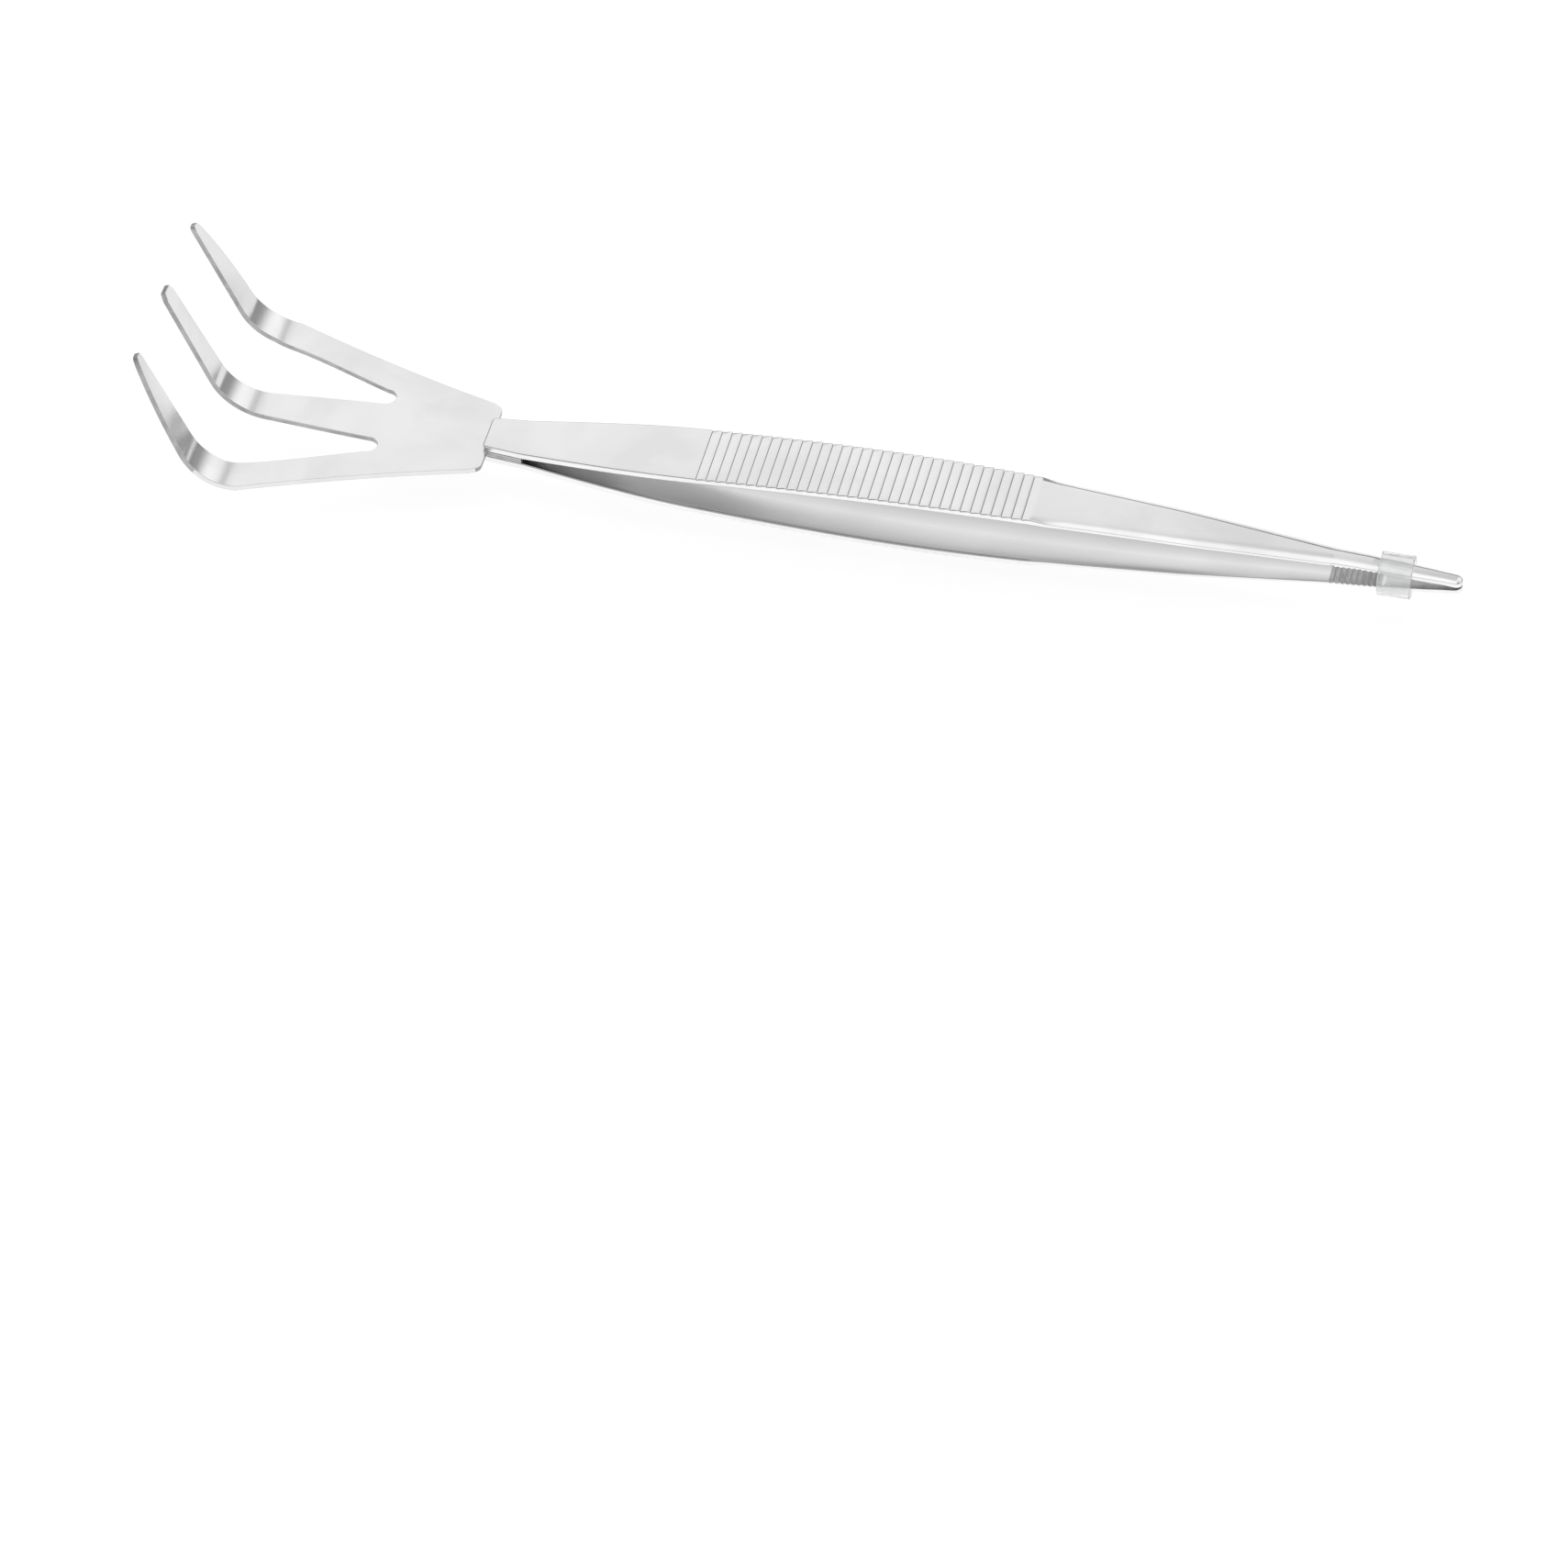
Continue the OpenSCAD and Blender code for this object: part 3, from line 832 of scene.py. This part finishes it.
rakeShape = {
    # sizes in mm from the arms' root ends, as the sheet is seen from above
    "thickness": 0.9, "width": 40.6, "edgeRound": 0.16, "tangMiddle": 3.0,
    "shoulderReach": 0.6, "shoulderWidth": 15.5, "shoulderRadius": 1.2, "shoulderAngles": (0, 22, 45, 67),
    "slotX": 16.7, "slotRadius": 1.75, "slotY": 5.9, "slotRun": 3.0, "slotTaper": 0.3,
    "tineWidth": 5.1, "tineLength": 17.8, "bendX": 36.3, "bendRadius": 9.0, "bendAngle": 65.0,
    "tipWidth": 3.3, "tipChamfer": 0.56, "tipRounding": 3.3, "tipRoundRun": 0.45,
    # small steps that round the outer tine's two corners
    "outerCorner": ((0.12, 0.1), (0, -0.25)), "innerCorner": ((0, 0.35), (0.12, 0.1), (0.4, 0)),
    # how each long curve leaves its start and reaches its end
    "flarePulls": ((-13.1, 3.5), (11.9, -4.8)), "outsidePulls": ((-7, 0.9), (3.6, 2.6)),
    "slotOuterPulls": ((6, -1.2), (-7, 2.7)), "slotInnerPulls": ((-7, -0.4), (6, 0.4)),
    "polishedUnshadedPast": 6.5,  # how far past the bend line the outer sides keep their polish and go without the painted shade of the edge steel
    "tineFinish": 0.87,  # share of the bend's run where the tines' own finish starts
    "bendSteps": 14, "curveSteps": 12,
}


def curvePoints(a, b, pulls, steps):
    (ax, ay), (bx, by) = pulls
    corners = (a, (a[0] + ax, a[1] + ay), (b[0] + bx, b[1] + by), b)
    points = []
    for i in range(steps + 1):
        t = i / steps
        weights = ((1 - t) ** 3, 3 * (1 - t) ** 2 * t, 3 * (1 - t) * t**2, t**3)
        points.append(tuple(sum(w * c[k] for w, c in zip(weights, corners)) for k in (0, 1)))
    return points


def arcPoint(x, y, radius, degrees):
    return x + radius * math.cos(math.radians(degrees)), y + radius * math.sin(math.radians(degrees))


def halfOutline():
    # the +Y half of the sheet, from the tang's end round the outer tine and the slot to the middle tine's tip
    r = rakeShape
    steps, outerY = r["curveSteps"], r["width"] / 2
    innerY = outerY - r["tineWidth"]
    angle = math.radians(r["bendAngle"])
    tipX = -r["bendX"] - r["bendRadius"] * math.sin(angle) - r["tineLength"] * math.cos(angle)
    shoulderX, shoulderY, radius = r["shoulderReach"], r["shoulderWidth"] / 2, r["shoulderRadius"]
    bend, roundY = (-r["bendX"], outerY), outerY - r["tipRounding"]
    # the tang and the plate's flared side
    points = [(x, halfWidth(x)) for x in (arm["tang"], r["tangMiddle"], shoulderX)]
    points += [
        (shoulderX - radius * (1 - math.cos(math.radians(a))),
         shoulderY - radius * (1 - math.sin(math.radians(a))))
        for a in r["shoulderAngles"]
    ]
    flare = curvePoints((shoulderX, shoulderY), bend, r["flarePulls"], 2 * steps)
    points += [p for p in flare if p[0] < shoulderX - radius]
    # the outer tine
    tip = (tipX + r["tipRoundRun"], roundY + r["tipRoundRun"])
    points += curvePoints(bend, tip, r["outsidePulls"], 2 * steps)[1:]
    points += [(tipX + dx, roundY + dy) for dx, dy in r["outerCorner"]]
    points += [(tipX + dx, innerY + r["slotTaper"] + dy) for dx, dy in r["innerCorner"]]
    # the slot, with its round end
    straightX, centreX = -r["bendX"] - r["slotRun"], -r["slotX"] - r["slotRadius"]
    slotTop, slotBottom = r["slotY"] + r["slotRadius"], r["slotY"] - r["slotRadius"]
    points += curvePoints((straightX, innerY), (centreX, slotTop), r["slotOuterPulls"], steps)
    points += [arcPoint(centreX, r["slotY"], r["slotRadius"], a) for a in range(75, -90, -15)]
    points += curvePoints((centreX, slotBottom), (straightX, r["tineWidth"] / 2), r["slotInnerPulls"], steps)
    # half of the middle tine's tip
    points += [(tipX + r["tipChamfer"], r["tipWidth"] / 2), (tipX, r["tipWidth"] / 2 - r["tipChamfer"])]
    return points


def unroll(x):
    # distance along the flat sheet for a place seen from above, so that the bend brings it back there
    r = rakeShape
    past = -r["bendX"] - x
    if past <= 0:
        return x
    angle = math.radians(r["bendAngle"])
    reach = r["bendRadius"] * math.sin(angle)
    if past <= reach:
        return -r["bendX"] - r["bendRadius"] * math.asin(past / r["bendRadius"])
    return -r["bendX"] - r["bendRadius"] * angle - (past - reach) / math.cos(angle)


def makeRake():
    r = rakeShape
    half = [(unroll(x), y) for x, y in halfOutline()]
    outline = half + [(x, -y) for x, y in reversed(half)]
    plateZ = midZ + r["thickness"] / 2 * mm
    deselectAll()
    bpy.ops.mesh.primitive_circle_add(
        vertices=len(outline), radius=20 * mm, fill_type="NGON", location=(0, 0, plateZ),
    )
    piece = bpy.context.active_object
    piece.name = "rakeSheet"
    applyPlace(piece)
    for vert, (x, y) in zip(piece.data.vertices, outline):
        vert.co.x = rootX + x * mm
        vert.co.y = y * mm
    # cut across the tines where they bend, and across the tang
    bpy.ops.object.mode_set(mode="EDIT")
    step = math.radians(r["bendAngle"]) / r["bendSteps"]
    lines = [rootX - (r["bendX"] + r["bendRadius"] * step * i) * mm for i in range(r["bendSteps"] + 1)]
    tangLine = rootX + (r["shoulderReach"] - 0.1) * mm
    for line in lines + [tangLine]:
        bpy.ops.mesh.select_all(action="SELECT")
        bpy.ops.mesh.bisect(plane_co=(line, 0, 0), plane_no=(1, 0, 0))
    # fold the tines up a little at each cut
    chord = 2 * r["bendRadius"] * mm * math.sin(step / 2)
    hinge = Vector((lines[0], 0, plateZ))
    for i, line in enumerate(lines):
        turn = step if 0 < i < r["bendSteps"] else step / 2
        selectBeyond(piece, line)
        bpy.ops.transform.rotate(value=-turn, orient_axis="Y", center_override=hinge)
        direction = step * (i + 0.5)
        hinge = hinge + Vector((-math.cos(direction), 0, math.sin(direction))) * chord
    bpy.ops.object.mode_set(mode="OBJECT")
    return piece


def selectBeyond(piece, line):
    # edit mode: the points past a cut, told by the place that each had on the flat sheet
    mesh = bmesh.from_edit_mesh(piece.data)
    flatPlace = mesh.verts.layers.float.get("flatPlace")
    if flatPlace is None:
        flatPlace = mesh.verts.layers.float.new("flatPlace")
        for vert in mesh.verts:
            vert[flatPlace] = vert.co.x
    bpy.context.tool_settings.mesh_select_mode = (True, False, False)
    for vert in mesh.verts:
        vert.select = vert[flatPlace] < line - 0.001 * mm
    mesh.select_flush(True)
    bmesh.update_edit_mesh(piece.data)


def rakeFinish(face):
    # sheared edges are rough, and their darker colour is partly painted shade, told by place and facing: all
    # but the plate's outer sides, which are polished
    r = rakeShape
    bend = math.radians(r["bendAngle"])
    x, y, facing = (face.center.x - rootX) / mm, face.center.y, face.normal
    outside = facing.y * y > 0 and abs(facing.y) > 0.5 and abs(y) > (r["slotY"] + r["slotRadius"]) * mm
    if x > -r["bendX"] - r["polishedUnshadedPast"] and (outside or x > -r["bendX"]):
        # the lower rounded edges take the dark edge steel as a painted shade line
        paintedShadeUnderEdge = abs(facing.y) > 0.3 and -0.95 < facing.z < -0.3
        sheared = abs(facing.z) < 0.35 and not outside or paintedShadeUnderEdge
    else:
        endwards = Vector((-math.cos(bend), 0, math.sin(bend)))
        atTip = x < -r["bendX"] - r["bendRadius"] and facing.dot(endwards) > 0.7
        sheared = abs(facing.y) > 0.65 or atTip
    if sheared:
        return edgeShadeSteel
    onTine = x < -r["bendX"] - r["tineFinish"] * r["bendRadius"] * math.sin(bend)
    return tineSteel if onTine else rakeSteel


rake = makeRake()
thickenSheet(rake, rakeShape["thickness"])
cutWeldHoles(rake, arm["weldHole"] - arm["weldClearance"], arm["punchDepth"])
roundEdges(rake, rakeShape["edgeRound"], 2)
smoothPiece(rake, 50)
addFinishes(rake, [rakeSteel, edgeShadeSteel, tineSteel], rakeFinish)
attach(rake, "root")
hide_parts("rake_head")
print("rake cut and bent")


# sleeve

sleeveShape = {
    "wall": 0.5,  # mm
    "slack": 0.2,  # how much slimmer it is than its CAD box, on each side
    "flare": 0.06,  # how far the cut rims stand out
    "rimRound": 0.16,
    "around": 72,
    "bands": (0.06, 0.2, 0.5, 0.8, 0.94),  # cuts that keep the flare at the rims, as shares of the length
}


def selectRim(piece, end):
    # edit mode
    mesh = bmesh.from_edit_mesh(piece.data)
    bpy.context.tool_settings.mesh_select_mode = (True, False, False)
    for vert in mesh.verts:
        vert.select = abs(vert.co.x - end) < 0.01 * mm
    mesh.select_flush(True)
    mesh.select_flush(False)
    bmesh.update_edit_mesh(piece.data)


def makeSleeve():
    s = sleeveShape
    length = sleeveBox[1].x - sleeveBox[0].x
    outer = (sleeveBox[1].y - sleeveBox[0].y) / 2 - s["slack"] * mm
    centre = (sleeveBox[0] + sleeveBox[1]) / 2
    deselectAll()
    bpy.ops.mesh.primitive_cylinder_add(
        vertices=s["around"], radius=outer, depth=length, end_fill_type="NOTHING",
        location=centre, rotation=(0, math.pi / 2, 0),
    )
    piece = bpy.context.active_object
    piece.name = "tipSleeveTube"
    applyPlace(piece)
    bpy.ops.object.mode_set(mode="EDIT")
    for share in s["bands"]:
        bpy.ops.mesh.select_all(action="SELECT")
        bpy.ops.mesh.bisect(plane_co=(sleeveBox[0].x + share * length, 0, 0), plane_no=(1, 0, 0))
    # the cut rims spread a little, and the middle keeps its round
    grow = 1 + s["flare"] * mm / outer
    for end in (sleeveBox[0].x, sleeveBox[1].x):
        selectRim(piece, end)
        bpy.ops.transform.resize(value=(1, grow, grow), center_override=(end, centre.y, centre.z))
    bpy.ops.mesh.select_all(action="SELECT")
    bpy.ops.mesh.normals_make_consistent(inside=False)
    bpy.ops.object.mode_set(mode="OBJECT")
    thickenSheet(piece, s["wall"])
    roundEdges(piece, s["rimRound"], 3)
    smoothPiece(piece, 40)
    return piece


sleeve = makeSleeve()
sleeve.data.materials.append(sleevePlastic)
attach(sleeve, "sleeve")
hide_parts("tip_sleeve")
print("sleeve cut")

# welds, kept from the frame
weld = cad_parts["spot_welds"]
weld.data.materials.clear()
weld.data.materials.append(weldMetal)

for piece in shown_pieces():
    print(piece.name, len(piece.data.polygons), "faces")
